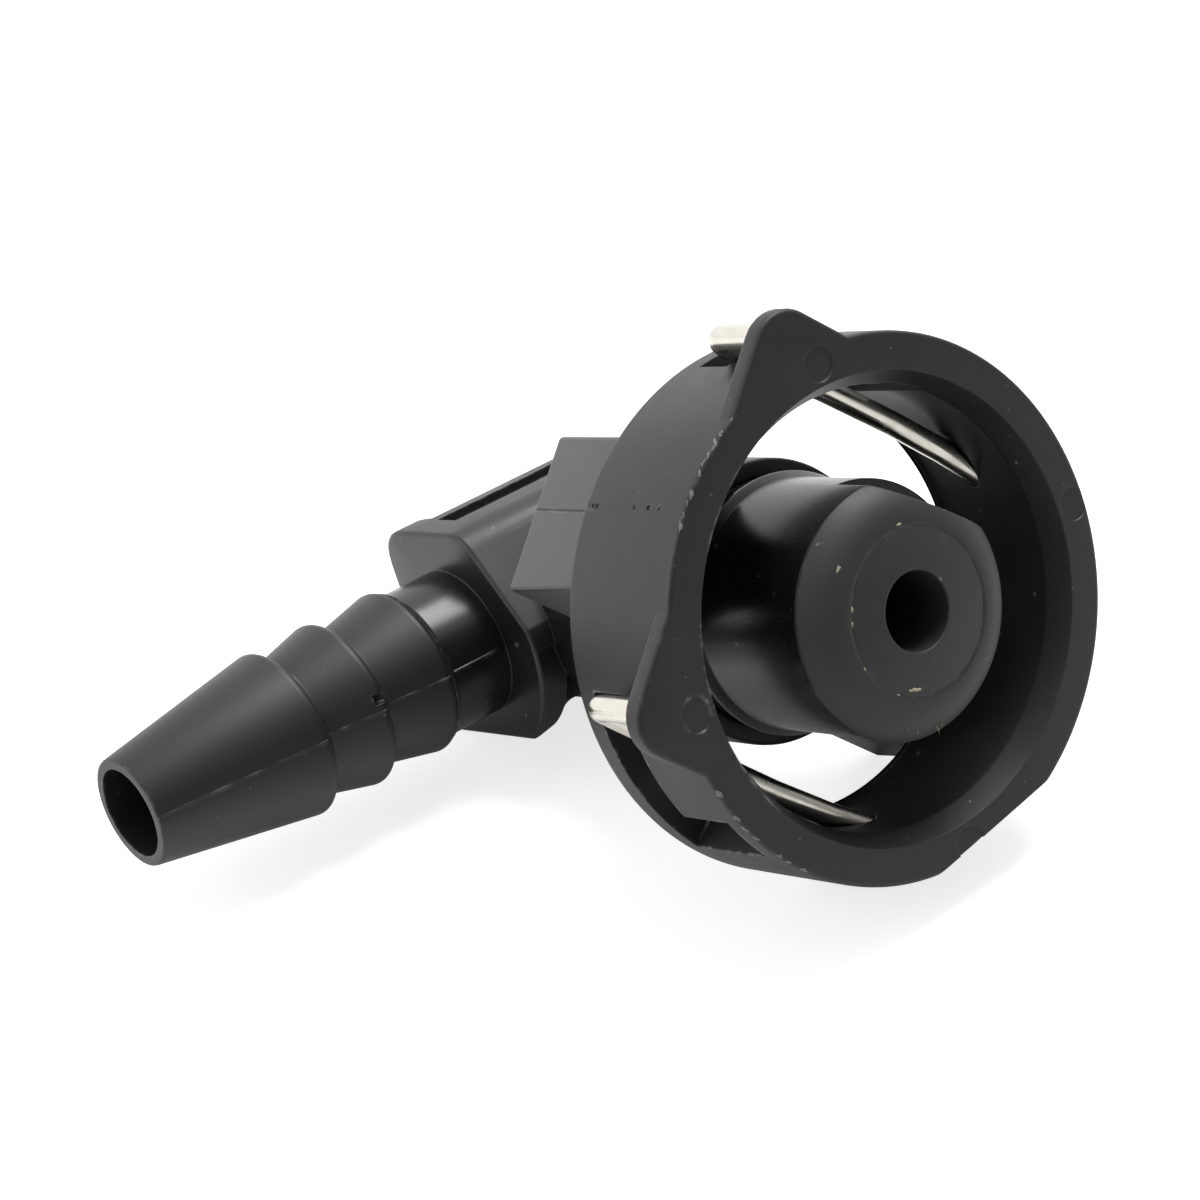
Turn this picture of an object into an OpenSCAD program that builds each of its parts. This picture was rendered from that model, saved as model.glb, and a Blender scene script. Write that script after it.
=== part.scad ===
// Elbow hose connector for a push-on pipe joint. One moulded elbow carries the
// hose barb and the round probe, a moulded collar swivels on the probe and is
// pushed over the mating pipe, and a spring-wire clip holds the pipe's bead.
// The part lies as it comes to rest on a table: on the back of the collar's
// rim, a corner of its bridge and the edge of the hose stop. The origin is the
// middle of the collar's mouth, and the mouth looks towards -Y and upwards.

/* [Collar ring] */
// Outside diameter of the ring
ring_od = 30; // [29.6:0.1:31]
// Bore that the mating pipe goes into
collar_bore = 24.3; // [23.8:0.1:24.6]
// Length of the ring along the pipe axis
ring_len = 9.1; // [8.8:0.1:10]
// Depth of the lead-in chamfer at the mouth
lead_depth = 1.4; // [0.8:0.1:2]
// Widening of the lead-in chamfer on each side
lead_step = 0.75; // [0.3:0.05:1]
// Thickness of the plate that the ears stand on
plate_t = 1.25; // [1:0.05:1.6]
// Reach of the ears from the axis, towards the hooks of the clip
ear_reach = 14; // [13.8:0.1:14.6]
// Half width over both ears
ear_half = 12.4; // [12.2:0.1:13]
// Radius on the corners of the ears
ear_corner = 2.3; // [1.8:0.1:2.6]
// Direction of the trimmed flat on the rim, from the hook side
trim_at = 143; // [138:1:148]
// Depth of the trimmed flat
trim_depth = 0.8; // [0.3:0.1:1]

/* [Collar windows] */
// Angle where each window starts, from the hook side
window_start = 38.5; // [37:0.5:40]
// Angle where each window widens
window_step = 69; // [64:1:72]
// Angle where each window ends
window_end = 82; // [78:1:90]
// Distance of the narrow part of a window from the mouth
window_front = 5.1; // [4.8:0.1:5.2]
// Distance of the far side of a window from the mouth
window_back = 7.6; // [7.4:0.05:7.7]

/* [Collar bridge] */
// Width of the bridge behind the ring
bridge_w = 8.8; // [8:0.2:10]
// Length of the bridge behind the ring, along the axis
bridge_len = 6; // [5.5:0.1:7]
// Half length of the bridge across the ring
bridge_half = 14.15; // [13.8:0.05:14.2]
// Diameter of the hub
hub_d = 16.2; // [16:0.1:17]
// Distance of the hub's front from the ring's back
hub_inset = 1.4; // [1:0.1:2]

/* [Elbow] */
// Diameter of the probe
probe_d = 14.1; // [13.8:0.1:14.3]
// Height of the snap bead that keeps the collar on the probe
bead_h = 0.35; // [0.2:0.05:0.45]
// Width of the snap bead
bead_w = 0.9; // [0.6:0.1:1.2]
// Distance of the barb's axis behind the mouth of the collar
barb_back = 31; // [30:0.5:34]
// Angle from the clip's hook side to the barb, as the collar stands
barb_turn = 43.6; // [30:0.1:60]
// Diameter of the shoulder that the collar's hub turns against
shoulder_d = 15.8; // [15.4:0.1:16.2]
// Thickness of the shoulder
shoulder_t = 1.2; // [0.8:0.1:2]
// Diameter of the riser behind the shoulder
riser_d = 13; // [12.6:0.1:13.4]
// Diameter of the elbow's housing
housing_d = 15; // [14.8:0.1:15.2]
// Height of the housing's top flat above the barb's axis
top_flat = 7; // [6.8:0.1:7.2]
// Depth of the hose stop's bottom flat below the barb's axis
bottom_flat = 6.2; // [6:0.1:6.5]
// Depth of the housing's bottom flat below the barb's axis
low_flat = 4.6; // [4.4:0.1:5.2]
// Distance of the housing's slanted front flat from the barb's axis
front_flat = 5.3; // [5.1:0.1:5.6]
// Slant of that flat, from square to the probe's axis
front_slant = 20; // [16:1:24]
// Distance of the housing's back flat behind the barb's axis
back_flat = 5.2; // [5:0.1:5.6]
// Distance of the hose stop's face from the probe's axis
stop_at = 8.1; // [7.9:0.1:8.5]
// Diameter of the hose stop
stop_d = 14.8; // [14.5:0.1:15]
// Thickness of the hose stop
stop_t = 2.2; // [1.8:0.1:2.6]
// Chamfer on the edge of the hose stop
stop_edge = 0.3; // [0.1:0.05:0.4]
// Distance of the housing's blind end from the probe's axis
heel_at = 7.4; // [7:0.1:8]
// Rounding on the rim of the blind end
heel_r = 1.6; // [1:0.1:2]
// Width of the shallow channel in the top flat
channel_w = 2.1; // [1.8:0.1:2.6]
// Offset of the channel's middle from the barb's axis, towards the mouth
channel_at = -0.65; // [-0.8:0.05:0]
// Depth of the shallow channel in the top flat
channel_depth = 0.6; // [0.4:0.1:0.8]
// Distance from the hose stop's face to the end of the channel
channel_end = 2; // [1.6:0.1:3]

/* [Hose barb] */
// Distance of the barb's tip from the probe's axis
tip_at = 32.1; // [31.5:0.1:34]
// Diameter at the tip
tip_d = 6.7; // [6.5:0.1:7]
// Diameter over the ridges
ridge_d = 10.2; // [9.8:0.1:10.6]
// Diameter of the valleys between ridges
valley_d = 8.5; // [8.2:0.1:8.8]
// Diameter of the root between the last ridge and the hose stop
root_d = 9.2; // [8.9:0.1:9.4]
// Distance from the tip to the first ridge
first_ridge = 10.5; // [10.2:0.1:11]
// Distance from the first ridge to the second
second_step = 4.2; // [3.9:0.1:4.4]
// Distance from the second ridge to the third
third_step = 4.6; // [4.3:0.1:4.8]
// Length of the short fall behind each ridge
ridge_fall = 0.7; // [0.65:0.05:0.9]
// Rounding on the crest of each ridge
crest_r = 0.5; // [0.3:0.05:0.6]
// Bore of the barb
bore_d = 5.4; // [5:0.1:5.8]
// Bore of the probe, which crosses the barb's bore
way_d = 6.4; // [6.1:0.1:7]

/* [Nose seal] */
// Diameter of the seal where it meets the probe
seal_d = 14.3; // [14.1:0.1:14.6]
// Distance of the seal's back face in front of the collar's mouth
seal_at = 0.4; // [0.3:0.05:0.8]
// Length of the seal in front of the probe
seal_len = 1.65; // [1.5:0.05:2]
// Diameter of the seal's flat front face
seal_face_d = 9.6; // [9:0.1:10]
// Radius of the seal's shoulder
seal_round = 3.2; // [3:0.1:5]
// Distance from the axis to the flat across the seal and the probe's end
nose_flat = 5.75; // [5.6:0.05:6.2]
// Direction of that flat, from the hook side
nose_flat_dir = -85.4; // [-88:0.2:-80]
// Length of that flat along the probe, behind the mouth
nose_flat_len = 2.2; // [1.6:0.1:2.6]
// Diameter of the hole through the seal
seal_hole_d = 4.4; // [4:0.1:4.8]
// Diameter of the plug that holds the seal in the probe
plug_d = 9.2; // [8.6:0.1:9.8]
// Length of the plug
plug_len = 4; // [3:0.1:5]
// Gap between the plug and its seat
plug_gap = 0.03; // [0.02:0.01:0.06]

/* [Wire clip] */
// Diameter of the spring wire
wire_d = 1.4; // [1.3:0.05:1.45]
// Distance of each leg from the axis
leg_y = 10.45; // [10.4:0.05:10.7]
// Distance of the clip's legs behind the mouth
clip_back = 5.3; // [5.2:0.05:5.5]
// Distance of the hooks from the axis
hook_x = 13; // [12.8:0.05:13.1]
// Bend radius of the hooks
hook_bend = 1; // [0.9:0.05:1.2]
// Bend radius between a leg and the back bow
bow_bend = 3; // [2.6:0.1:3.4]
// Gap between the wire and the collar
wire_gap = 0.15; // [0.1:0.01:0.2]
// Depth of the groove that the back bow lies in
bow_groove = 0.9; // [0.6:0.05:1.1]

/* [Fit] */
// Radial running gap between the collar's hub and the probe
swivel_gap = 0.08; // [0.05:0.01:0.1]
// Axial play of the collar on the probe
axial_gap = 0.15; // [0.1:0.01:0.2]

/* [Hidden] */
$fn = 96;
eps = 0.01;
ring_r = ring_od / 2;
bore_r = collar_bore / 2;
probe_r = probe_d / 2;
hub_back = -ring_len - bridge_len;
hub_front = -ring_len - hub_inset;
shoulder_z = hub_back - axial_gap;
wire_r = wire_d / 2;
wire_z = -clip_back;
groove_r = ring_r - bow_groove;
bow_r = groove_r + wire_gap + wire_r;
bend_swell = 0.04;
lap = 0.06;
seal_r = seal_d / 2;
// Rest attitude: turn of the hook side about the pipe axis, then the tilts
hook_turn = 158.2;
tip_back = 20.11;
lean = 20.69;
heading = -7.37;

// Lays a piece that is built about the pipe axis (+Z out of the mouth, +X to
// the hooks) down on the table.
module laid() {
    rotate([0, 0, heading]) rotate([-tip_back, lean, 0]) rotate([90, 0, 0])
        rotate([0, 0, hook_turn]) children();
}

// Builds about the barb's own axis: +Z towards the tip, +X out of the mouth and
// +Y towards the housing's top flat.
module along_barb() {
    translate([0, 0, -barb_back]) rotate([0, 0, barb_turn]) rotate([0, 90, 0])
        rotate([0, 0, 180]) children();
}

// A piece of ring between two angles and two distances behind the mouth.
module sector(from, to, r_in, r_out, z_back, z_front) {
    rotate([0, 0, from]) rotate_extrude(angle = to - from)
        translate([r_in, z_back]) square([r_out - r_in, z_front - z_back]);
}

module ear_outline() {
    x = ear_reach - ear_corner;
    y = ear_half - ear_corner;
    translate([0, -ear_half]) square([x, 2 * ear_half]);
    translate([0, -y]) square([ear_reach, 2 * y]);
    for (s = [-1, 1]) translate([x, s * y]) circle(r = ear_corner);
}

module ring_body() {
    translate([0, 0, -ring_len]) cylinder(r = ring_r, h = ring_len);
    translate([0, 0, -plate_t]) linear_extrude(plate_t) ear_outline();
}

module bridge() {
    translate([-bridge_half, -bridge_w / 2, hub_back])
        cube([2 * bridge_half, bridge_w, bridge_len + 1]);
    translate([0, 0, hub_back]) cylinder(d = hub_d, h = hub_front - hub_back);
}

// The window on one side: narrow behind the rim where the leg comes out, and
// wide where the leg springs outwards.
module window() {
    difference() {
        sector(window_start, window_end, bore_r - 1, ring_r + 3, -window_back,
            -plate_t);
        sector(window_start - 5, window_step, bore_r - 2, ring_r + 4,
            -window_front, 0);
    }
}

// The way of the clip: both legs across the ring, the bow round its back, and
// slightly wider ways for the two bends between them.
module clip_way() {
    r = wire_r + wire_gap;
    for (s = [-1, 1]) {
        translate([-ring_r - 1, s * leg_y, wire_z])
            rotate([0, 90, 0]) cylinder(r = r, h = 2 * ring_r + 2);
        translate([bend_x, s * bend_y, wire_z]) rotate([0, 0, s * 90])
            wire_arc(bow_bend, min(0, s * (bend_a - 90)), max(0, s * (bend_a - 90)),
                r + bend_swell);
    }
    sector(180 - 52, 180 + 52, groove_r, ring_r + 2, wire_z - r, wire_z + r);
}

module swivel_collar() {
    color("#333335") laid() difference() {
        union() {
            ring_body();
            bridge();
        }
        translate([0, 0, -ring_len]) cylinder(r = bore_r, h = ring_len + 1);
        translate([0, 0, -lead_depth])
            cylinder(r1 = bore_r, r2 = bore_r + lead_step * (1 + eps / lead_depth),
                h = lead_depth + eps);
        translate([0, 0, hub_back - 1])
            cylinder(r = probe_r + swivel_gap, h = bridge_len + 3);
        rotate([0, 0, trim_at]) translate([ring_r - trim_depth, -ring_r, -2 * plate_t])
            cube([5, 2 * ring_r, 3 * plate_t]);
        window();
        mirror([0, 1, 0]) window();
        clip_way();
    }
}

// Centre of the bend between a leg and the back bow.
bend_y = leg_y - bow_bend;
bend_x = -sqrt(pow(bow_r - bow_bend, 2) - pow(bend_y, 2));
bend_a = atan2(bend_y, bend_x);

module wire_arc(r_bend, from, to, r) {
    rotate([0, 0, from]) rotate_extrude(angle = to - from)
        translate([r_bend, 0]) circle(r = r, $fn = 32);
}

// A very slight swelling where a bend begins, which also joins the lengths.
module wire_knuckle(r) {
    sphere(r = r + bend_swell, $fn = 32);
}

// The bow round the closed side, with the bends that lead into both legs.
module clip_bow(r) {
    translate([0, 0, wire_z]) {
        wire_arc(bow_r, bend_a, 360 - bend_a, r);
        translate([bend_x, bend_y, 0]) wire_arc(bow_bend, 90, bend_a, r);
        translate([bend_x, -bend_y, 0]) wire_arc(bow_bend, -bend_a, -90, r);
        for (s = [-1, 1]) {
            rotate([0, 0, s * bend_a]) translate([bow_r, 0]) wire_knuckle(r);
            translate([bend_x, s * leg_y, 0]) wire_knuckle(r);
        }
    }
}

module clip_leg(side) {
    leg_end = hook_x - hook_bend;
    hook_z = -plate_t - wire_gap;
    translate([bend_x - lap, side * leg_y, wire_z]) rotate([0, 90, 0])
        cylinder(r = wire_r, h = leg_end - bend_x + 2 * lap, $fn = 32);
    translate([leg_end, side * leg_y, wire_z]) wire_knuckle(wire_r);
    translate([leg_end, side * leg_y, wire_z + hook_bend]) rotate([90, 0, 0])
        wire_arc(hook_bend, -90, 0, wire_r);
    translate([hook_x, side * leg_y, wire_z + hook_bend]) {
        wire_knuckle(wire_r);
        translate([0, 0, -lap])
            cylinder(r = wire_r, h = hook_z - wire_z - hook_bend + lap, $fn = 32);
    }
}

module wire_clip() {
    color("#c9c6bd") laid() {
        clip_bow(wire_r);
        for (s = [-1, 1]) clip_leg(s);
    }
}

// Rounded crest of one ridge. The ramp that starts at `foot`, on the tip side,
// runs into the rounding without a corner.
function crest(foot, at) =
    let (c = [ridge_d / 2 - crest_r, at], v = foot - c,
        a0 = atan2(v[1], v[0]) - acos(crest_r / norm(v)))
    [for (i = [0:5]) c + crest_r * [cos(a0 - (a0 + 75) * i / 5),
        sin(a0 - (a0 + 75) * i / 5)]];

module barb() {
    r1 = tip_at - first_ridge;
    r2 = r1 - second_step;
    r3 = r2 - third_step;
    nose = [tip_d / 2, tip_at - 0.15];
    valley = valley_d / 2;
    foot2 = [valley, r1 - ridge_fall];
    foot3 = [valley, r2 - ridge_fall];
    rotate_extrude() polygon(concat([[0, tip_at], [tip_d / 2 - 0.12, tip_at], nose],
        crest(nose, r1), [foot2], crest(foot2, r2), [foot3], crest(foot3, r3),
        [[root_d / 2, r3 - ridge_fall], [root_d / 2, 0], [0, 0]]));
}

module housing() {
    stop_back = stop_at - stop_t;
    intersection() {
        rotate_extrude() polygon(concat(
            [[0, stop_at], [stop_d / 2 - stop_edge, stop_at],
                [stop_d / 2, stop_at - stop_edge], [stop_d / 2, stop_back],
                [housing_d / 2, stop_back]],
            [for (a = [0:-15:-90]) [housing_d / 2 - heel_r + heel_r * cos(a),
                heel_r - heel_at + heel_r * sin(a)]],
            [[0, -heel_at]]));
        difference() {
            translate([-back_flat, -bottom_flat, -heel_at - 1])
                cube([back_flat + stop_d, top_flat + bottom_flat,
                    heel_at + stop_at + 2]);
            rotate([0, 0, front_slant]) translate([front_flat, -stop_d, -heel_at - 2])
                cube([2 * stop_d, 2 * stop_d, heel_at + stop_at + 4]);
            translate([-stop_d, -low_flat - stop_d, -heel_at - 2])
                cube([2 * stop_d, stop_d, heel_at + 2 + stop_back]);
        }
    }
}

module channel() {
    translate([channel_at - channel_w / 2, top_flat - channel_depth, -heel_at - 1])
        cube([channel_w, 1 + channel_depth, heel_at + 1 + stop_at - channel_end]);
}

// The flat across the end of the probe and the head of the seal.
module nose_cut() {
    rotate([0, 0, nose_flat_dir]) translate([nose_flat, -probe_d, -nose_flat_len])
        cube([5, 2 * probe_d, nose_flat_len + 10]);
}

module probe() {
    top = shoulder_z - shoulder_t - 1;
    translate([0, 0, top]) cylinder(r = probe_r, h = seal_at - top);
    translate([0, 0, shoulder_z - shoulder_t]) cylinder(d = shoulder_d, h = shoulder_t);
    translate([0, 0, -barb_back]) cylinder(d = riser_d, h = top + barb_back);
    translate([0, 0, axial_gap - ring_len]) rotate_extrude()
        polygon([[probe_r - 1, 0], [probe_r + bead_h, 0],
            [probe_r + bead_h, bead_w / 3], [probe_r, bead_w], [probe_r - 1, bead_w]]);
}

module elbow_body() {
    color("#2a2a2c") laid() difference() {
        union() {
            probe();
            along_barb() {
                barb();
                difference() {
                    housing();
                    channel();
                }
            }
        }
        along_barb() cylinder(d = bore_d, h = tip_at + 1);
        translate([0, 0, -barb_back - way_d / 2])
            cylinder(d = way_d, h = barb_back + way_d / 2 + 5);
        translate([0, 0, seal_at - plug_len - plug_gap])
            cylinder(d = plug_d + 2 * plug_gap, h = plug_len + 5);
        nose_cut();
    }
}

// The seal's shoulder is an arc from its widest circle to the flat face.
module nose_seal() {
    a = [seal_r, seal_at + 0.15];
    b = [seal_face_d / 2, seal_at + seal_len];
    mid = (a + b) / 2;
    half = norm(b - a) / 2;
    away = sqrt(seal_round * seal_round - half * half);
    c = mid - away * [b[1] - a[1], a[0] - b[0]] / (2 * half);
    a0 = atan2(a[1] - c[1], a[0] - c[0]);
    a1 = atan2(b[1] - c[1], b[0] - c[0]);
    color("#3a3a3b") laid() difference() {
        rotate_extrude() polygon(concat(
            [[0, seal_at - plug_len], [plug_d / 2, seal_at - plug_len],
                [plug_d / 2, seal_at], [seal_r, seal_at]],
            [for (i = [0:6]) c + seal_round * [cos(a0 + (a1 - a0) * i / 6),
                sin(a0 + (a1 - a0) * i / 6)]],
            [[0, seal_at + seal_len]]));
        translate([0, 0, seal_at - plug_len - 1])
            cylinder(d = seal_hole_d, h = plug_len + seal_len + 2);
        nose_cut();
    }
}

elbow_body();
swivel_collar();
nose_seal();
wire_clip();
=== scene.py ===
import math

import bmesh
import bpy
from mathutils import Matrix, Vector, noise


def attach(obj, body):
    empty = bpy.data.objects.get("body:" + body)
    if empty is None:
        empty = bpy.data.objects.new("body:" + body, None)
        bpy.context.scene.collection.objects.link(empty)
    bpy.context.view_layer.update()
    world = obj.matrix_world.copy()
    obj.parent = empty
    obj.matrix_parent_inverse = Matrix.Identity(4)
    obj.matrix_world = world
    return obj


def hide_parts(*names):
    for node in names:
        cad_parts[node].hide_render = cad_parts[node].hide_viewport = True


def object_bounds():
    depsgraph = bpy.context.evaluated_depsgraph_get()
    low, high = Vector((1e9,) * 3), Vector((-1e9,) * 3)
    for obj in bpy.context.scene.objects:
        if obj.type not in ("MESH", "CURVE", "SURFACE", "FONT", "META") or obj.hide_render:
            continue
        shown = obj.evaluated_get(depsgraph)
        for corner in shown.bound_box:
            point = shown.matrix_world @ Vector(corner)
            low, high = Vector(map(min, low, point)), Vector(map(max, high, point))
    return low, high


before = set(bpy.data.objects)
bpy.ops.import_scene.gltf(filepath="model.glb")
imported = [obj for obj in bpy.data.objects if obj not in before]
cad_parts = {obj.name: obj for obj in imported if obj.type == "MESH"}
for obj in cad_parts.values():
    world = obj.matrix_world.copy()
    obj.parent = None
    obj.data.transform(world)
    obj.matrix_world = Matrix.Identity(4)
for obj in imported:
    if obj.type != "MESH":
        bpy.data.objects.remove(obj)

cad_low, cad_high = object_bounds()

# ---------------------------------------------------------------- placing
# Pieces are made in the pipe's own axes, in millimetres: +Z out of the mouth of the
# collar, +X to the hooks of the wire clip. PIPE lays them down as the CAD lies.
HOOK_TURN, TIP_BACK, LEAN, HEADING = 158.2, 20.11, 20.69, -7.37
# How far behind the mouth the barb crosses the pipe's axis, and the way it points.
BARB_BACK, BARB_TURN = 31.0, 43.6


def turn(degrees, axis):
    """A turn about an axis, as a matrix."""
    return Matrix.Rotation(math.radians(degrees), 4, axis)


LAID = (turn(HEADING, "Z") @ turn(LEAN, "Y") @ turn(-TIP_BACK, "X")
        @ turn(90, "X") @ turn(HOOK_TURN, "Z"))
PIPE = Matrix.Scale(0.001, 4) @ LAID
# The barb's own axes: +Z to its tip, +X out of the mouth, the top flat at +Y.
IN_BARB = (Matrix.Translation((0, 0, -BARB_BACK)) @ turn(BARB_TURN, "Z")
           @ turn(90, "Y") @ turn(180, "Z"))
BARB = PIPE @ IN_BARB

# ---------------------------------------------------------------- camera
# From the fit of the collar, the seal and the barb: the rows and the shift take a point
# in the pipe's axes, in millimetres, to the right, down and away from the camera.
VIEW_ROWS = ((-0.75985, -0.30502, 0.57410),
             (-0.34595, 0.93739, 0.04016),
             (-0.55041, -0.16810, -0.81780))
VIEW_SHIFT = (15.7891, 0.5186, 191.6511)
VIEW_ANGLE = 19.1006


def add_camera():
    """The camera at the fitted place, with a plain lens and everything sharp."""
    data = bpy.data.cameras.new("camera")
    data.sensor_width = 36.0
    data.lens = data.sensor_width / 2 / math.tan(math.radians(VIEW_ANGLE / 2))
    data.clip_start, data.clip_end = 0.01, 10.0
    camera = bpy.data.objects.new("camera", data)
    bpy.context.scene.collection.objects.link(camera)
    rows = Matrix(VIEW_ROWS)
    place = -(rows.transposed() @ Vector(VIEW_SHIFT))
    axes = LAID.to_3x3()
    facing = Matrix((axes @ rows[0], axes @ -rows[1], axes @ -rows[2])).transposed()
    camera.matrix_world = (Matrix.Translation(PIPE @ place)
                           @ facing.normalized().to_4x4())
    bpy.context.scene.camera = camera


add_camera()

# ---------------------------------------------------------------- materials
# Pattern widths in millimetres. The real grain of the mould is too fine for the picture
# to show, so it is drawn coarser.
CLOUD_MM, GRAIN_MM, SPECK_MM, RUB_MM, DRAWN_MM = 3.846, 0.1111, 0.5882, 0.9091, 1.111
RUB_REACH = 0.00032                   # how far a rub comes in from its edge, in metres


def across(width):
    """The scale of a noise pattern whose marks are that many millimetres wide."""
    return 1000.0 / width


def linear(code):
    """An sRGB hex colour as linear red, green, blue and alpha."""
    def one(c):
        return c / 12.92 if c <= 0.04045 else ((c + 0.055) / 1.055) ** 2.4
    return tuple(one(int(code[i:i + 2], 16) / 255) for i in (1, 3, 5)) + (1.0,)


def put(tree, kind, settings=(), **links):
    """Adds a node with its settings and its links. A link is a socket, or a plain value
    for the input of that name; a number in a name stands for an input's place."""
    node = tree.nodes.new(kind)
    for key, value in dict(settings).items():
        setattr(node, key, value)
    for key, value in links.items():
        name = int(key[1:]) if key[0] == "n" and key[1:].isdigit() else key.replace("_", " ")
        if isinstance(value, bpy.types.NodeSocket):
            tree.links.new(value, node.inputs[name])
        else:
            node.inputs[name].default_value = value
    return node


def new_material(name):
    """An empty node material and its tree."""
    material = bpy.data.materials.new(name)
    material.use_nodes = True
    material.node_tree.nodes.clear()
    return material, material.node_tree


def within(tree, where, axis, low, high):
    """1 where the distance along an axis, in metres, is over high, 0 under low."""
    along = put(tree, "ShaderNodeVectorMath", {"operation": "DOT_PRODUCT"}, n0=where,
                n1=axis)
    return put(tree, "ShaderNodeMapRange", {"interpolation_type": "SMOOTHSTEP"},
               Value=along.outputs["Value"], From_Min=low, From_Max=high).outputs["Result"]


def moulded(name, colour, worn, roughness, spread, grain, edge, rub, rubbed_at=None,
            dull=None):
    """A dark moulding: a body colour with cloudy sheen, a fine grain, pale specks, patchy
    rubs along the edges, and corners that catch the light. edge is the rounding in
    millimetres and rub how strong the rubs are; rubbed_at is (axis, low, high) for where
    they are, and dull is (axis, low, high, roughness) for an area with a rougher skin."""
    material, tree = new_material(name)
    where = put(tree, "ShaderNodeTexCoord").outputs["Object"]
    cloud = put(tree, "ShaderNodeTexNoise", Vector=where, Scale=across(CLOUD_MM), Detail=9.0,
                Roughness=0.62)
    fine = put(tree, "ShaderNodeTexNoise", Vector=where, Scale=across(GRAIN_MM), Detail=2.0)
    specks = put(tree, "ShaderNodeTexNoise", Vector=where, Scale=across(SPECK_MM), Detail=2.0)
    few = put(tree, "ShaderNodeMapRange", Value=specks.outputs["Fac"], From_Min=0.735,
              From_Max=0.8, To_Max=0.55)
    tone = put(tree, "ShaderNodeMix", {"data_type": "RGBA"}, n0=cloud.outputs["Fac"],
               n6=linear(colour), n7=linear(worn))
    spotted = put(tree, "ShaderNodeMix", {"data_type": "RGBA"}, n0=few.outputs["Result"],
                  n6=tone.outputs[2], n7=linear("#8a8a8c"))
    skin = put(tree, "ShaderNodeMapRange", Value=cloud.outputs["Fac"], From_Min=0.3,
               From_Max=0.7, To_Min=roughness - spread,
               To_Max=roughness + spread).outputs["Result"]
    round_off = put(tree, "ShaderNodeBevel", {"samples": 6}, Radius=edge * 0.001)
    # An edge is where a widely rounded normal leaves the face's own.
    flat = put(tree, "ShaderNodeNewGeometry").outputs["True Normal"]
    wide = put(tree, "ShaderNodeBevel", {"samples": 5}, Radius=RUB_REACH)
    same = put(tree, "ShaderNodeVectorMath", {"operation": "DOT_PRODUCT"}, n0=flat,
               n1=wide.outputs["Normal"])
    corner = put(tree, "ShaderNodeMapRange", Value=same.outputs["Value"], From_Min=0.97,
                 From_Max=0.87)
    patch = put(tree, "ShaderNodeTexNoise", Vector=where, Scale=across(RUB_MM), Detail=3.0)
    torn = put(tree, "ShaderNodeMapRange", Value=patch.outputs["Fac"], From_Min=0.52,
               From_Max=0.64, To_Max=rub)
    rubbed = put(tree, "ShaderNodeMath", {"operation": "MULTIPLY"},
                 n0=corner.outputs["Result"], n1=torn.outputs["Result"])
    if rubbed_at:
        rubbed = put(tree, "ShaderNodeMath", {"operation": "MULTIPLY"},
                     n0=rubbed.outputs[0], n1=within(tree, where, *rubbed_at))
    body = put(tree, "ShaderNodeMix", {"data_type": "RGBA"}, n0=rubbed.outputs[0],
               n6=spotted.outputs[2], n7=linear("#9c9c9e"))
    if dull:
        area = within(tree, where, *dull[:3])
        skin = put(tree, "ShaderNodeMix", {"data_type": "FLOAT"}, n0=area, n2=skin,
                   n3=dull[3]).outputs[0]
    bump = put(tree, "ShaderNodeBump", Height=fine.outputs["Fac"], Strength=grain,
               Distance=0.00003, Normal=round_off.outputs["Normal"])
    shader = put(tree, "ShaderNodeBsdfPrincipled", Base_Color=body.outputs[2],
                 Roughness=skin, Normal=bump.outputs["Normal"])
    shader.inputs["IOR"].default_value = 1.5
    shader.inputs["Specular IOR Level"].default_value = 0.42
    put(tree, "ShaderNodeOutputMaterial", Surface=shader.outputs["BSDF"])
    return material


def drawn_spring_wire():
    """Bright drawn stainless wire: clear, slightly blurred reflections along the wire, in
    patches that are a little warmer and duller."""
    material, tree = new_material("drawn spring wire")
    where = put(tree, "ShaderNodeTexCoord").outputs["Object"]
    patch = put(tree, "ShaderNodeTexNoise", Vector=where, Scale=across(DRAWN_MM),
                Detail=3.0)
    tone = put(tree, "ShaderNodeMix", {"data_type": "RGBA"}, n0=patch.outputs["Fac"],
               n6=linear("#d6d3ca"), n7=linear("#c2beb3"))
    sheen = put(tree, "ShaderNodeMapRange", Value=patch.outputs["Fac"], From_Min=0.3,
                From_Max=0.7, To_Min=0.16, To_Max=0.3)
    shader = put(tree, "ShaderNodeBsdfPrincipled", Base_Color=tone.outputs[2],
                 Metallic=1.0, Roughness=sheen.outputs["Result"])
    put(tree, "ShaderNodeOutputMaterial", Surface=shader.outputs["BSDF"])
    return material


ALONG_BARB = BARB.to_3x3() @ Vector((0, 0, 1000))
BARB_FOOT = BARB.to_translation().dot(ALONG_BARB)
HAND_SIDE = LAID.to_3x3() @ Vector((0.8, 0.6, 0))

# Nylon from a polished mould, near black: the probe and the barb's root mirror the table
# and the lamps. The barb's ramps, from 11.8 mm on, have a blasted skin and shine softly,
# and the parting line beyond the stop is rubbed pale.
POLISHED = moulded("moulded nylon, polished", "#161618", "#1b1b1d", 0.27, 0.02, 0.02, 0.12,
                   0.45, (ALONG_BARB, BARB_FOOT + 0.0085, BARB_FOOT + 0.0092),
                   (ALONG_BARB, BARB_FOOT + 0.0118, BARB_FOOT + 0.0128, 0.46))
# Nylon from a spark-eroded mould: the housing spreads the light into a wide dim sheen.
ERODED = moulded("moulded nylon, eroded mould", "#161618", "#1f1f21", 0.46, 0.05, 0.1, 0.12,
                 0.25)
# Nylon from a finely etched mould: the collar is an even satin, with pale rubs on the
# edges of the side that hands reach.
SATIN = moulded("moulded nylon, satin", "#1c1c1e", "#252527", 0.46, 0.05, 0.12, 0.12,
                0.8, (HAND_SIDE, 0.006, 0.0095))
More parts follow.
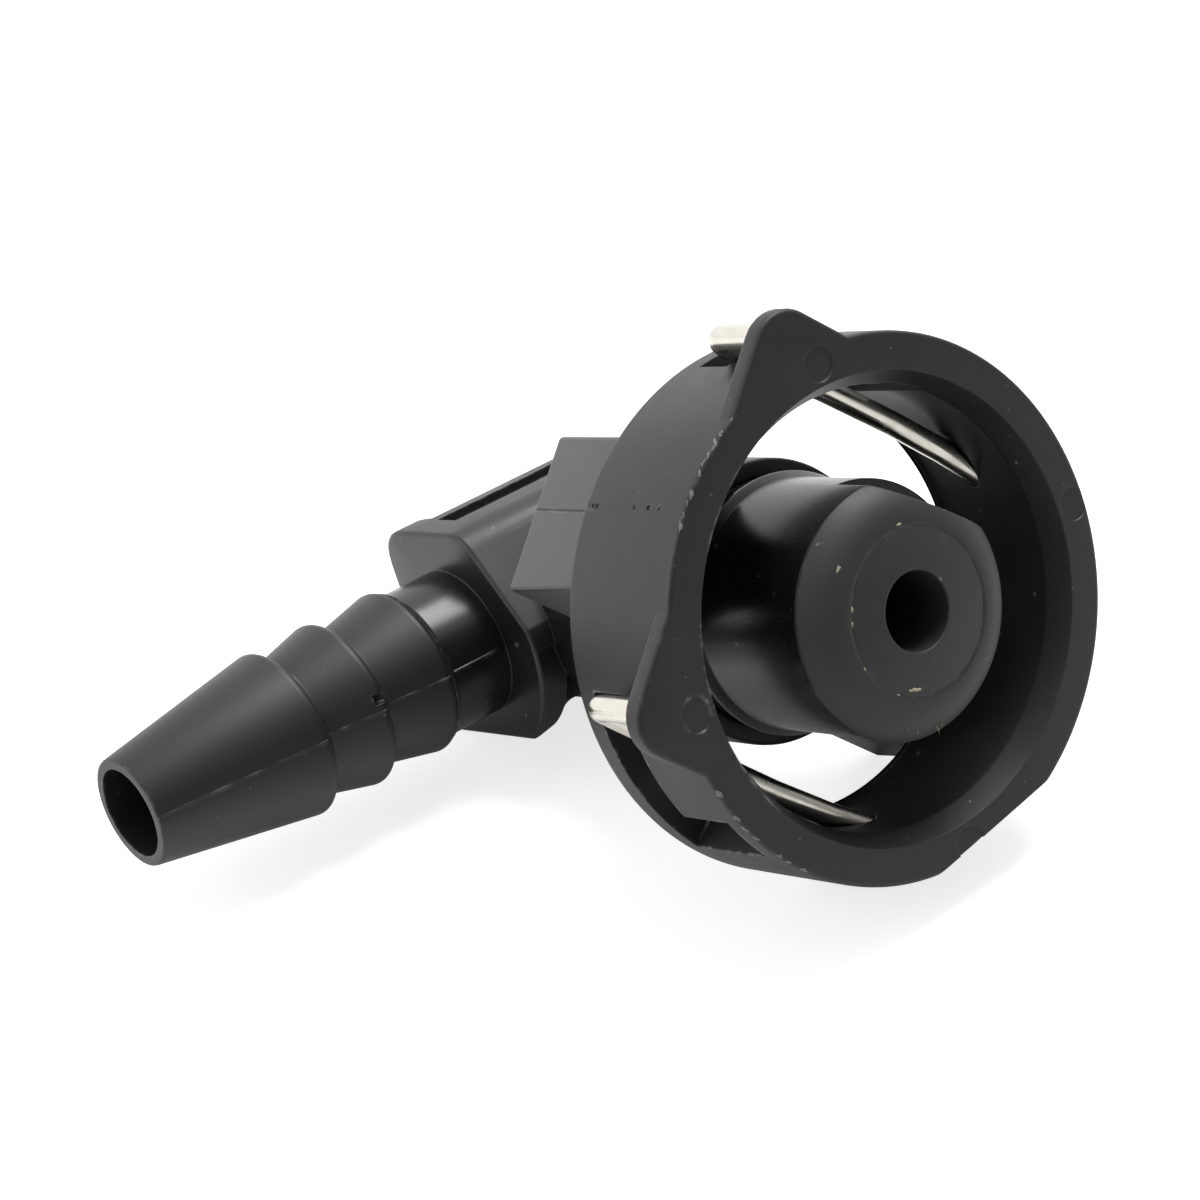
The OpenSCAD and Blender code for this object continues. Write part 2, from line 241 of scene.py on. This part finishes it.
# The bridge's end is paler and flat: partly a rougher, scuffed skin, and partly painted sheen
# for the bright light that this face catches.
BRIDGE_END_SHEEN = moulded("moulded nylon, painted sheen", "#4a4a4c", "#5e5e60", 0.5, 0.05, 0.3, 0.12,
                  0.8)
# Moulded rubber: an even dark grey with no clear reflection.
RUBBER = moulded("moulded rubber", "#272728", "#303031", 0.52, 0.05, 0.2, 0.12, 0.12)
# Nylon flash whitens where it tears, so it shows as pale grey crumbs.
TORN = moulded("torn nylon flash", "#68686a", "#848486", 0.5, 0.05, 0.2, 0.05, 0.0)
# Lint and rubber dust: small straw-coloured marks without shine.
STRAW = moulded("pale lint and rubber dust", "#a09c8c", "#c8bd94", 0.6, 0.05, 0.1, 0.05, 0.1)
WIRE = drawn_spring_wire()

# ---------------------------------------------------------------- mesh tools
BLANKS = []                           # shapes that only cut or join others


def softened(corners):
    """A profile with its corners rounded: each corner is (r, z) or (r, z, fillet)."""
    out, count = [], len(corners)
    for i, corner in enumerate(corners):
        here = Vector(corner[:2])
        fillet = corner[2] if len(corner) > 2 else 0
        if not fillet:
            out.append(tuple(here))
            continue
        before = Vector(corners[i - 1][:2]) - here
        after = Vector(corners[(i + 1) % count][:2]) - here
        spread = before.angle(after)
        cut = min(fillet / math.tan(spread / 2), before.length * 0.49, after.length * 0.49)
        start, end = here + before.normalized() * cut, here + after.normalized() * cut
        for step in range(7):
            t = step / 6
            out.append(tuple(start * (1 - t) ** 2 + here * 2 * t * (1 - t) + end * t ** 2))
    return out


def lathe(profile, steps=160):
    """Turns a closed profile of (r, z) about Z; a point on the axis is made once."""
    mesh = bmesh.new()
    rows = []
    for r, z in profile:
        if r < 1e-6:
            rows.append([mesh.verts.new((0, 0, z))] * steps)
        else:
            rows.append([mesh.verts.new((r * math.cos(a), r * math.sin(a), z))
                         for a in (math.tau * k / steps for k in range(steps))])
    for i, row in enumerate(rows):
        below = rows[i - 1]
        for k in range(steps):
            loop = []
            for vert in (below[k], below[(k + 1) % steps], row[(k + 1) % steps], row[k]):
                if vert not in loop:
                    loop.append(vert)
            if len(loop) > 2:
                mesh.faces.new(loop)
    bmesh.ops.recalc_face_normals(mesh, faces=mesh.faces)
    return mesh


def prism(outline, low, high):
    """A straight prism between two heights on an outline of (x, y)."""
    mesh = bmesh.new()
    feet = [mesh.verts.new((x, y, low)) for x, y in outline]
    tops = [mesh.verts.new((x, y, high)) for x, y in outline]
    mesh.faces.new(feet)
    mesh.faces.new(tops)
    for i in range(len(outline)):
        mesh.faces.new((feet[i - 1], feet[i], tops[i], tops[i - 1]))
    bmesh.ops.recalc_face_normals(mesh, faces=mesh.faces)
    return mesh


def block(low, high, edge=0.0, segments=5):
    """A block between two corners with its edges rounded off."""
    mesh = prism([(low[0], low[1]), (high[0], low[1]), (high[0], high[1]),
                  (low[0], high[1])], low[2], high[2])
    if edge:
        bmesh.ops.bevel(mesh, geom=mesh.edges[:], offset=edge, segments=segments,
                        profile=0.5, affect="EDGES")
    return mesh


def round_edges(mesh, edge, chosen, segments=5):
    """Rounds off the edges of a mesh for which chosen(edge) is true."""
    bmesh.ops.bevel(mesh, geom=[e for e in mesh.edges if chosen(e)], offset=edge,
                    segments=segments, profile=0.5, affect="EDGES")
    return mesh


def part(mesh, place=None):
    """A mesh as an object; place moves it within the pipe's axes first."""
    if place is not None:
        bmesh.ops.transform(mesh, matrix=place, verts=mesh.verts)
    bmesh.ops.triangulate(mesh, faces=mesh.faces)
    data = bpy.data.meshes.new("blank")
    mesh.to_mesh(data)
    mesh.free()
    made = bpy.data.objects.new("blank", data)
    bpy.context.scene.collection.objects.link(made)
    BLANKS.append(made)
    return made


def combine(base, others, how):
    """base joined with, cut by or kept within the others, as a new mesh on base."""
    for other in others:
        step = base.modifiers.new("cut", "BOOLEAN")
        step.operation, step.object, step.solver = how, other, "MANIFOLD"
    bpy.context.view_layer.update()
    shape = bpy.data.meshes.new_from_object(
        base.evaluated_get(bpy.context.evaluated_depsgraph_get()))
    base.modifiers.clear()
    base.data = shape
    return base


def finished(shape, name, body, material, *nodes, sharp):
    """The shape laid down as a piece that rides on a body and stands for CAD nodes. Edges
    sharper than sharp, in degrees, stay edges."""
    shape.name = name
    shape.data.name = name
    shape.data.transform(PIPE)
    shape.data.shade_smooth()
    shape.data.set_sharp_from_angle(angle=math.radians(sharp))
    shape.data.materials.clear()
    shape.data.materials.append(material)
    BLANKS.remove(shape)
    if nodes:
        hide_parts(*nodes)
    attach(shape, body)
    return shape


# ---------------------------------------------------------------- elbow
TIP, VALLEY_R, ROOT_R, RIDGE_R, CREST_R, BORE_R = 32.1, 4.25, 4.6, 5.1, 0.5, 2.7
RIDGES = (21.6, 17.4, 12.8)           # how far each ridge is from the pipe's axis
STOP_AT, HOUSING_R, TAPER_R = 8.1, 7.42, 7.0
PROBE_R, WAY_R, SEAT_R = 7.05, 3.2, 4.63
NOSE_FLAT, NOSE_FLAT_DIR, NOSE_FLAT_LEN = 5.75, -85.4, 2.2


def barb_outline():
    """The barb's outer outline from the tip down to the root, (r, distance). Each ramp
    runs into its rounded crest, and a small hollow follows behind the crest."""
    line = [(3.2, TIP), (3.3, TIP - 0.05), (3.35, TIP - 0.17)]
    for at in RIDGES:
        centre = Vector((RIDGE_R - CREST_R, at))
        foot = Vector(line[-1]) - centre
        first = math.atan2(foot.y, foot.x) - math.acos(CREST_R / foot.length)
        last = math.radians(-72)
        line += [(centre.x + CREST_R * math.cos(a), centre.y + CREST_R * math.sin(a))
                 for a in (first + (last - first) * k / 12 for k in range(13))]
        low = ROOT_R if at == RIDGES[-1] else VALLEY_R
        line += [(low + 0.3, at - 0.53), (low + 0.1, at - 0.62), (low, at - 0.82)]
    return line + [(ROOT_R, STOP_AT - 0.01)]


def seam_ridge():
    """The mould's parting line along the barb, where it faces the mouth: a thin ridge
    of uneven height from the tip to the stop."""
    line = [Vector(point) for point in barb_outline()]
    points = []
    for start, end in zip(line, line[1:]):
        steps = max(1, int((end - start).length / 0.3))
        for k in range(steps):
            here = start.lerp(end, k / steps)
            lift = 0.035 + 0.05 * noise.noise(Vector((here.y * 1.9, 3.1, 0.4)))
            if here.y < RIDGES[-1] - 0.5:      # fuller on the root
                lift = 0.075
            points.append((here.x + lift, here.y))
    ridge = prism([(0, TIP - 0.3)] + points[2:] + [(0, STOP_AT + 0.1)], -0.065, 0.065)
    return part(ridge, turn(90, "X"))


def nose_cut():
    """The flat across the probe's end and the head of the seal."""
    return part(block((NOSE_FLAT, -12, -NOSE_FLAT_LEN), (12, 12, 8)), turn(NOSE_FLAT_DIR, "Z"))


def housing_outline():
    """The housing seen from the barb's tip: flat on top, slanted to the mouth, round
    below that, and flat at the bottom and the back."""
    arc = [(HOUSING_R * math.cos(a), HOUSING_R * math.sin(a))
           for a in (math.radians(5 - 4 * k) for k in range(15))]
    corners = ([(-5.4, 7.0, 2.3), (3.4, 7.0, 2.4), (7.28, 1.03, 0.6)] + arc
               + [(4.0, -6.2, 0.5), (-5.4, -6.2, 1.3)])
    return softened(corners)


def make_elbow():
    """The moulded elbow. The barb and the housing are made in the barb's axes; the riser,
    shoulder and barrel of the probe in the pipe's."""
    barb = part(lathe([(0, TIP)] + barb_outline() + [(0, STOP_AT - 0.01)], 176))
    drum = part(lathe(softened([(0, STOP_AT), (8.6, STOP_AT, 0.3), (8.6, 6.6), (7.46, 5.9),
                                (7.46, -7.4, 1.9), (0, -7.4)]), 176))
    flats = round_edges(prism(housing_outline(), -9, STOP_AT), 0.3,
                        lambda e: min(v.co.z for v in e.verts) > 8)
    # Behind the stop the housing is cut away below and in front, and it tapers a little.
    low = part(block((-20, -20, -20), (20, -4.6, 5.88), 0.5))
    front = part(block((5.3, -20, -20), (20, 0.9, 5.89), 0.3))
    skirt = lathe([(7.45, STOP_AT), (9, STOP_AT), (9, -9), (TAPER_R, -9), (TAPER_R, 5.8)], 176)
    taper = combine(part(skirt), [part(block((-20, -20, -10), (20, -0.4, 9)))], "INTERSECT")
    housing = combine(combine(drum, [part(flats)], "INTERSECT"), [low, front, taper],
                      "DIFFERENCE")
    # The shallow channel along the top ends short of the stop.
    channel = part(block((-1.7, 6.4, -9), (0.4, 8, 6.1), 0.12, 2))
    housing = combine(housing, [channel], "DIFFERENCE")
    # A small pip of plastic stands on the stop's face.
    crown = [(0.17 * math.sin(a), 0.16 * math.cos(a))
             for a in (math.radians(15 * k) for k in range(1, 7))]
    pip = part(lathe([(0, 0.16)] + crown + [(0.17, -0.1), (0, -0.1)], 16),
               Matrix.Translation((5.85, 0.1, STOP_AT)))
    elbow = combine(barb, [seam_ridge(), housing, pip], "UNION")
    # Nicks just behind the first two ridges, near the parting line.
    nicks = [part(block((-0.45, -0.3, -0.5), (0.45, 0.3, 0.5), 0.1),
                  turn(a, "Z") @ Matrix.Translation((r, 0, s)) @ turn(tilt, "Y"))
             for a, r, s, tilt in ((16, 5.0, 16.5, 20), (9, 4.75, 17.2, -10),
                                   (12, 4.95, 20.75, 15))]
    elbow = combine(elbow, nicks, "DIFFERENCE")
    elbow.data.transform(IN_BARB)
    riser = part(lathe([(0, -16), (6.5, -16), (6.5, -BARB_BACK), (0, -BARB_BACK)]))
    shoulder = part(lathe(softened([(0, -15.25), (7.9, -15.25, 0.2), (7.9, -16.45, 0.25),
                                    (0, -16.45)])))
    # The barrel carries a low snap bead in front of the collar's hub.
    barrel = part(lathe(softened([
        (0, 0.4), (PROBE_R, 0.4, 0.12), (PROBE_R, -8.05), (7.4, -8.65, 0.1),
        (7.4, -8.95, 0.1), (PROBE_R, -8.95), (PROBE_R, -17), (0, -17)])))
    elbow = combine(elbow, [riser, shoulder, barrel], "UNION")
    bore = part(lathe([(0, TIP + 1), (BORE_R, TIP + 1), (BORE_R, 0), (0, 0)], 96), IN_BARB)
    way = part(lathe([(0, 5), (WAY_R, 5), (WAY_R, -34.2), (0, -34.2)], 96))
    seat = part(lathe([(0, 5), (SEAT_R, 5), (SEAT_R, -3.63), (0, -3.63)], 96))
    elbow = combine(elbow, [bore, way, seat, nose_cut()], "DIFFERENCE")
    elbow = finished(elbow, "elbow", "elbow", POLISHED, "elbow_body", sharp=20)
    elbow.data.materials.append(ERODED)
    to_barb = BARB.inverted()
    for face in elbow.data.polygons:
        x, y, z = to_barb @ face.center
        if z < STOP_AT - 0.05 and x < HOUSING_R + 0.03 and math.hypot(x, y) > 6.0:
            face.material_index = 1


# ---------------------------------------------------------------- nose seal
SEAL_HOLE_R, SEAL_TOP, DOME_BEND = 2.2, 2.05, 3.2


def make_seal():
    """The rubber seal: a flat face with a round hole, a crease, a dome down to the rim, a
    small gap to the barrel, and the plug."""
    low, high = Vector((7.15, 0.55)), Vector((4.8, SEAL_TOP))
    half = (high - low).length / 2
    away = math.sqrt(DOME_BEND ** 2 - half ** 2)
    side = Vector((high.y - low.y, low.x - high.x)) / (2 * half)
    centre = (low + high) / 2 - side * away
    a0 = math.atan2(low.y - centre.y, low.x - centre.x)
    a1 = math.atan2(high.y - centre.y, high.x - centre.x)
    dome = [tuple(centre + DOME_BEND * Vector((math.cos(a), math.sin(a))))
            for a in (a0 + (a1 - a0) * k / 12 for k in range(13))]
    plug = softened([(SEAL_HOLE_R, SEAL_TOP, 0.12), (SEAL_HOLE_R, -3.6, 0.1), (4.6, -3.6, 0.1),
                     (4.6, 0.4), (6.9, 0.4), (6.9, 0.52)])
    crease = [(4.64, SEAL_TOP), (4.58, SEAL_TOP - 0.04), (4.52, SEAL_TOP)]
    seal = combine(part(lathe(plug + dome + crease, 176)), [nose_cut()], "DIFFERENCE")
    finished(seal, "nose_seal_dome", "elbow", RUBBER, "nose_seal", sharp=50)


# ---------------------------------------------------------------- collar
RING_R, RING_BACK, SOCKET_R, HUB_BACK = 15.0, -9.1, 12.15, -15.1
LEG_Y, LEG_SPLAY, LEG_Z, WIRE_WAY_R = 10.45, 0.4, -5.3, 0.86


def sector_outline(start, end, low, high, steps=48):
    """A piece of a ring between two angles and two radii."""
    turns = [math.radians(start + (end - start) * k / steps) for k in range(steps + 1)]
    return ([(high * math.cos(a), high * math.sin(a)) for a in turns]
            + [(low * math.cos(a), low * math.sin(a)) for a in reversed(turns)])


def ear_outline():
    """The plate that carries both ears, seen from the mouth."""
    out = [(0, -12.4)]
    for side, first in ((-1, -90), (1, 0)):
        out += [(11.7 + 2.3 * math.cos(math.radians(first + 10 * k)),
                 side * 10.1 + 2.3 * math.sin(math.radians(first + 10 * k)))
                for k in range(10)]
    return out + [(0, 12.4)]


def wire_way(start, end, radius):
    """A straight round hole from start to end."""
    along = Vector(end) - Vector(start)
    place = Matrix.Translation(start) @ along.to_track_quat("Z", "Y").to_matrix().to_4x4()
    return part(lathe([(0, 0), (radius, 0), (radius, along.length), (0, along.length)], 40),
                place)


def make_collar():
    """The collar: a ring with two ears, the bridge behind it and the hub on the probe."""
    ring = part(lathe(softened([
        (0, RING_BACK), (RING_R, RING_BACK, 0.35), (RING_R, 0, 0.3), (0, 0)]), 240))
    plate = round_edges(prism(ear_outline(), -1.25, 0), 0.28,
                        lambda e: max(v.co.x for v in e.verts) > 0.1
                        and abs(e.verts[0].co.z - e.verts[1].co.z) < 0.1)
    bridge = prism([(-4.4, HUB_BACK), (4.75, HUB_BACK), (4.4, -8.1), (-4.4, -8.1)],
                   -14.15, 14.15)
    round_edges(bridge, 0.3, lambda e: True)
    bridge = part(bridge, Matrix(((0, 0, 1, 0), (1, 0, 0, 0), (0, 1, 0, 0), (0, 0, 0, 1))))
    hub = part(lathe(softened([(0, HUB_BACK), (8.1, HUB_BACK, 0.2), (8.1, -10.5, 0.25),
                               (0, -10.5)]), 128))
    collar = combine(ring, [part(plate), bridge, hub], "UNION")
    socket = part(lathe(softened([
        (0, RING_BACK), (SOCKET_R, RING_BACK, 0.3), (SOCKET_R, -1.4, 0.4), (12.9, 0, 0.15),
        (13.0, 1.5), (0, 1.5)]), 240))
    turn_way = part(lathe([(0, -17), (7.13, -17), (7.13, -8), (0, -8)], 160))
    # The rim is cut flat on one side, away from the ears.
    trim = part(prism([(14.2, -12), (19, -12), (19, 12), (14.2, 12)], -2.5, 1.5),
                turn(143, "Z"))
    cuts = [socket, turn_way, trim]
    # Each side has a long low window for the leg, with a short tall one beside the ear.
    for side in (-1, 1):
        deep = prism(sector_outline(38.5, 82, 11.0, 18), -7.6, -5.1)
        wide = prism(sector_outline(69, 82.0, 11.0, 18), -5.15, -1.25)
        opening = combine(part(deep), [part(wide)], "UNION")
        if side < 0:
            opening.data.transform(Matrix.Scale(-1, 4, (0, 1, 0)))
            opening.data.flip_normals()
        cuts.append(opening)
        middle = (0, side * (LEG_Y + LEG_SPLAY), LEG_Z)
        cuts += [wire_way((end, side * LEG_Y, LEG_Z), middle, WIRE_WAY_R) for end in (-16, 16)]
    # The groove for the clip's bow, round the far side.
    cuts.append(part(prism(sector_outline(126, 234, 14.1, 17.5), -6.15, -4.45)))
    for at in (-135, -46.5, 43, 135):      # round marks of the ejector pins
        mark = lathe([(0, 0.5), (1.2, 0.5), (1.0, 0), (0.93, -0.1), (0, -0.07)], 40)
        cuts.append(part(mark, turn(at, "Z") @ Matrix.Translation((14.1, 0, 0))))
    # The parting line of the mould crosses the end of the bridge and the ring's back.
    cuts.append(part(block((14.09, -0.06, -15.5), (14.6, 0.06, -9.2))))
    for start, end in ((RING_BACK, -8.55), (-8.4, -8.2), (-8.1, -7.75), (-4.6, -4.45),
                       (-3.4, -3.1), (-2.4, -2.2)):
        cuts.append(part(block((14.92, -0.13, start), (15.2, 0.14, end))))
    collar = finished(combine(collar, cuts, "DIFFERENCE"), "collar", "collar", SATIN,
                      "swivel_collar", sharp=20)
    # The faces of the bridge's end take the paler colour, which is partly painted sheen.
    collar.data.materials.append(BRIDGE_END_SHEEN)
    out, back = LAID.to_3x3() @ Vector((1, 0, 0)), LAID.to_3x3() @ Vector((0, 0, 1))
    for face in collar.data.polygons:
        if (face.center.dot(out) > 0.0138 and face.normal.dot(out) > 0.7
                and face.center.dot(back) < -0.009):
            face.material_index = 1


# ---------------------------------------------------------------- wire clip
BOW_R, BEND_R, WIRE_R, WIRE_SIDES = 14.95, 3.0, 0.7, 28


def clip_path():
    """The middle of the wire, from one hook's tip round the bow to the other's."""
    bend_y = LEG_Y - BEND_R
    bend_x = -math.sqrt((BOW_R - BEND_R) ** 2 - bend_y ** 2)
    bend_a, quarter = math.atan2(bend_y, bend_x), math.pi / 2
    half = [(13.0, LEG_Y, -1.4), (13.0, LEG_Y, -3.2)]
    half += [(12 + math.cos(a), LEG_Y, LEG_Z + 1 - math.sin(a))
             for a in (math.radians(9 * k) for k in range(11))]
    half += [(x, LEG_Y + splay, LEG_Z) for x, splay in (
        (9, 0.12), (5, 0.3), (0, LEG_SPLAY), (-4, 0.32), (-7, 0.12))]
    half += [(bend_x + BEND_R * math.cos(a), bend_y + BEND_R * math.sin(a), LEG_Z)
             for a in (quarter + (bend_a - quarter) * k / 9 for k in range(10))]
    half += [(BOW_R * math.cos(a), BOW_R * math.sin(a), LEG_Z)
             for a in (bend_a + (math.pi - bend_a) * k / 14 for k in range(1, 14))]
    return half + [(-BOW_R, 0, LEG_Z)] + [(x, -y, z) for x, y, z in reversed(half)]


def make_clip():
    """The bent wire: round sections carried along the path without twisting."""
    path = [Vector(p) for p in clip_path()]
    mesh, rings = bmesh.new(), []
    along = (path[1] - path[0]).normalized()
    side = Vector((1, 0, 0))
    for i, here in enumerate(path):
        ahead = (path[min(i + 1, len(path) - 1)] - path[max(i - 1, 0)]).normalized()
        side = (along.rotation_difference(ahead) @ side).normalized()
        along = ahead
        other = along.cross(side)
        rings.append([mesh.verts.new(here + WIRE_R * (side * math.cos(a) + other * math.sin(a)))
                      for a in (math.tau * k / WIRE_SIDES for k in range(WIRE_SIDES))])
    for below, row in zip(rings, rings[1:]):
        for k in range(WIRE_SIDES):
            mesh.faces.new((below[k - 1], below[k], row[k], row[k - 1]))
    for row in (rings[0], rings[-1]):
        mesh.faces.new(row)
    bmesh.ops.recalc_face_normals(mesh, faces=mesh.faces)
    finished(part(mesh), "spring_clip", "clip", WIRE, "wire_clip", sharp=45)


# ---------------------------------------------------------------- flash and lint
def flake(mesh, at, size, along, seed):
    """A torn flake: a small lump stretched along a direction, sunk into the skin."""
    made = bmesh.ops.create_icosphere(mesh, subdivisions=2, radius=1)["verts"]
    lie = along.to_track_quat("X", "Z").to_matrix()
    for vert in made:
        rough = 1 + 0.5 * noise.noise(vert.co * 1.7 + Vector((seed, 0, 0)))
        vert.co = Vector(at) + lie @ Vector((vert.co.x * size[0], vert.co.y * size[1],
                                             vert.co.z * size[2])) * rough


def fibre(mesh, points, radius=0.05):
    """A short loose fibre along three or four points, thin at its end."""
    rows = []
    for i, point in enumerate(points):
        r = radius * (1 - 0.6 * i / (len(points) - 1))
        rows.append([mesh.verts.new((point[0] + r * math.cos(a), point[1] + r * math.sin(a),
                                     point[2])) for a in (math.tau * k / 6 for k in range(6))])
    for below, row in zip(rows, rows[1:]):
        for k in range(6):
            mesh.faces.new((below[k - 1], below[k], row[k], row[k - 1]))
    mesh.faces.new(rows[0])
    mesh.faces.new(rows[-1])


def make_flash():
    """Torn flash along the rim of the collar, where the mould closed."""
    mesh = bmesh.new()
    spots = [-24 + 1.35 * k for k in range(22)] + [60 + 2.3 * k for k in range(17)]
    for i, angle in enumerate(spots):
        jump = noise.noise(Vector((i * 1.7, 2.3, 0.5)))
        a = math.radians(angle + 2.5 * jump)
        size = 0.1 + 0.16 * abs(noise.noise(Vector((i * 2.9, 7.1, 1.5))))
        rim = RING_R - 0.14
        flake(mesh, (rim * math.cos(a), rim * math.sin(a), -0.13 - 0.2 * abs(jump)),
              (size * 2.2, size * 0.8, size * 0.7),
              Vector((-math.sin(a), math.cos(a), 0.2)), i)
    bmesh.ops.recalc_face_normals(mesh, faces=mesh.faces)
    finished(part(mesh), "mould_flash", "collar", TORN, sharp=50)


def make_lint():
    """Scuffs, as (x, y, z, size), and a few loose fibres on the seal, as a foot and the
    way that each leans."""
    mesh = bmesh.new()
    marks = ((5.72, -0.23, 1.74, 0.2), (5.5, 0.25, 1.79, 0.13), (3.0, -3.8, 2.03, 0.13),
             (-1.36, 3.97, 2.05, 0.16), (-1.62, 3.85, 2.05, 0.12), (-1.1, 4.1, 2.05, 0.1),
             (-5.6, 0.7, 1.76, 0.14), (-5.75, 0.3, 1.72, 0.12), (2.3, 4.1, 2.05, 0.08),
             (4.0, 2.2, 2.05, 0.1), (4.3, 1.5, 2.05, 0.12), (-0.4, 4.6, 2.02, 0.1))
    for i, (x, y, z, size) in enumerate(marks):
        flake(mesh, (x, y, z), (size * 1.4, size * 0.6, size * 0.4),
              Vector((-y, x, 0)).normalized(), i + 40)
    for x, y, z, dx, dy, dz in ((-2.3, 5.6, 1.15, 0.25, 0.5, 0.35),
                                (-2.9, 5.5, 1.05, -0.1, 0.55, 0.35),
                                (-4.1, 4.9, 0.95, -0.35, 0.5, 0.4),
                                (-4.5, 4.6, 0.95, 0.2, 0.5, 0.55),
                                (-1.7, 6.2, 0.75, 0.1, 0.45, 0.3)):
        fibre(mesh, [(x + dx * t, y + dy * t, z + dz * t * (2 - t))
                     for t in (0, 0.4, 0.8, 1.2)])
    bmesh.ops.recalc_face_normals(mesh, faces=mesh.faces)
    finished(part(mesh), "lint", "elbow", STRAW, sharp=50)


make_elbow()
make_seal()
make_collar()
make_clip()
make_flash()
make_lint()
for blank in BLANKS:
    bpy.data.objects.remove(blank)

# ---------------------------------------------------------------- studio
# Sky light comes from the upper left and from behind; the side that the camera stands on
# is dimmer.
SKY_FROM, SKY_LOW, SKY_HIGH = Vector((-0.1, 0.85, 0.52)), 0.33, 1.45
TABLE_HALF = 3.0


def seen_plainly(tree):
    """The Light Path node, and 1 for what the camera sees directly or through glass."""
    path = put(tree, "ShaderNodeLightPath")
    direct = put(tree, "ShaderNodeMath", {"operation": "MAXIMUM"},
                 n0=path.outputs["Is Camera Ray"], n1=path.outputs["Is Transmission Ray"])
    return path, direct.outputs[0]


def add_table():
    """A white table that keeps the part's shadow. In reflections it is bright behind the
    part, dimmer in front of it, and dark where the part stands over it."""
    size, top = TABLE_HALF, cad_low.z
    mesh = bpy.data.meshes.new("floor")
    mesh.from_pydata([(-size, -size, top), (size, -size, top), (size, size, top),
                      (-size, size, top)], [], [(0, 1, 2, 3)])
    floor = bpy.data.objects.new("floor", mesh)
    bpy.context.scene.collection.objects.link(floor)
    material, tree = new_material("white table")
    path, direct = seen_plainly(tree)
    spot = put(tree, "ShaderNodeTexCoord").outputs["Object"]
    behind = within(tree, spot, (0, 1, 0), -0.015, 0.01)
    open_table = put(tree, "ShaderNodeMapRange", Value=behind, To_Min=0.35, To_Max=1.8)
    under = put(tree, "ShaderNodeAmbientOcclusion", {"samples": 4}, Distance=0.035)
    shaded = put(tree, "ShaderNodeMath", {"operation": "POWER"}, n0=under.outputs["AO"],
                 n1=1.6)
    table = put(tree, "ShaderNodeMath", {"operation": "MULTIPLY"},
                n0=shaded.outputs[0], n1=open_table.outputs["Result"])
    mirrored = put(tree, "ShaderNodeMath", {"operation": "MULTIPLY"},
                   n0=path.outputs["Is Glossy Ray"], n1=table.outputs[0])
    share = put(tree, "ShaderNodeMath", {"operation": "MAXIMUM"}, n0=direct,
                n1=mirrored.outputs[0])
    plain = put(tree, "ShaderNodeBsdfDiffuse", Color=linear("#d8d8d8"))
    glow = put(tree, "ShaderNodeEmission", Color=(1, 1, 1, 1), Strength=0.75)
    both = put(tree, "ShaderNodeAddShader", n0=plain.outputs[0], n1=glow.outputs[0])
    mix = put(tree, "ShaderNodeMixShader", n0=share.outputs[0], n1=plain.outputs[0],
              n2=both.outputs[0])
    put(tree, "ShaderNodeOutputMaterial", Surface=mix.outputs[0])
    mesh.materials.append(material)


def add_sky():
    """White surroundings, with a soft light that is brighter on one side."""
    world = bpy.data.worlds.new("studio")
    world.use_nodes = True
    bpy.context.scene.world = world
    tree = world.node_tree
    tree.nodes.clear()
    path, direct = seen_plainly(tree)
    where = put(tree, "ShaderNodeTexCoord").outputs["Generated"]
    lit = put(tree, "ShaderNodeMapRange", {"interpolation_type": "SMOOTHSTEP"},
              Value=put(tree, "ShaderNodeVectorMath", {"operation": "DOT_PRODUCT"}, n0=where,
                        n1=SKY_FROM).outputs["Value"],
              From_Min=-0.6, From_Max=0.6, To_Min=SKY_LOW, To_Max=SKY_HIGH)
    soft = put(tree, "ShaderNodeMapRange", Value=path.outputs["Is Glossy Ray"], To_Min=0.42)
    sky = put(tree, "ShaderNodeMath", {"operation": "MULTIPLY"}, n0=lit.outputs["Result"],
              n1=soft.outputs["Result"])
    level = put(tree, "ShaderNodeMix", {"data_type": "FLOAT"}, n0=direct,
                n2=sky.outputs[0], n3=1.0)
    back = put(tree, "ShaderNodeBackground", Color=(1, 1, 1, 1), Strength=level.outputs[0])
    put(tree, "ShaderNodeOutputWorld", Surface=back.outputs[0])


def add_lamp(name, place, width, watts):
    """A round softbox that faces the part."""
    data = bpy.data.lights.new(name, "AREA")
    data.shape, data.size, data.energy = "DISK", width, watts
    lamp = bpy.data.objects.new(name, data)
    bpy.context.scene.collection.objects.link(lamp)
    lamp.location = place
    lamp.rotation_mode = "QUATERNION"
    lamp.rotation_quaternion = (-Vector(place)).to_track_quat("-Z", "Y")


add_table()
add_sky()
add_lamp("softbox over the table", (0.2, 0.05, 0.43), 0.27, 2.1)
add_lamp("softbox on the left", (-0.42, 0.22, 0.2), 0.3, 0.6)
bpy.context.scene.view_settings.view_transform = "Standard"
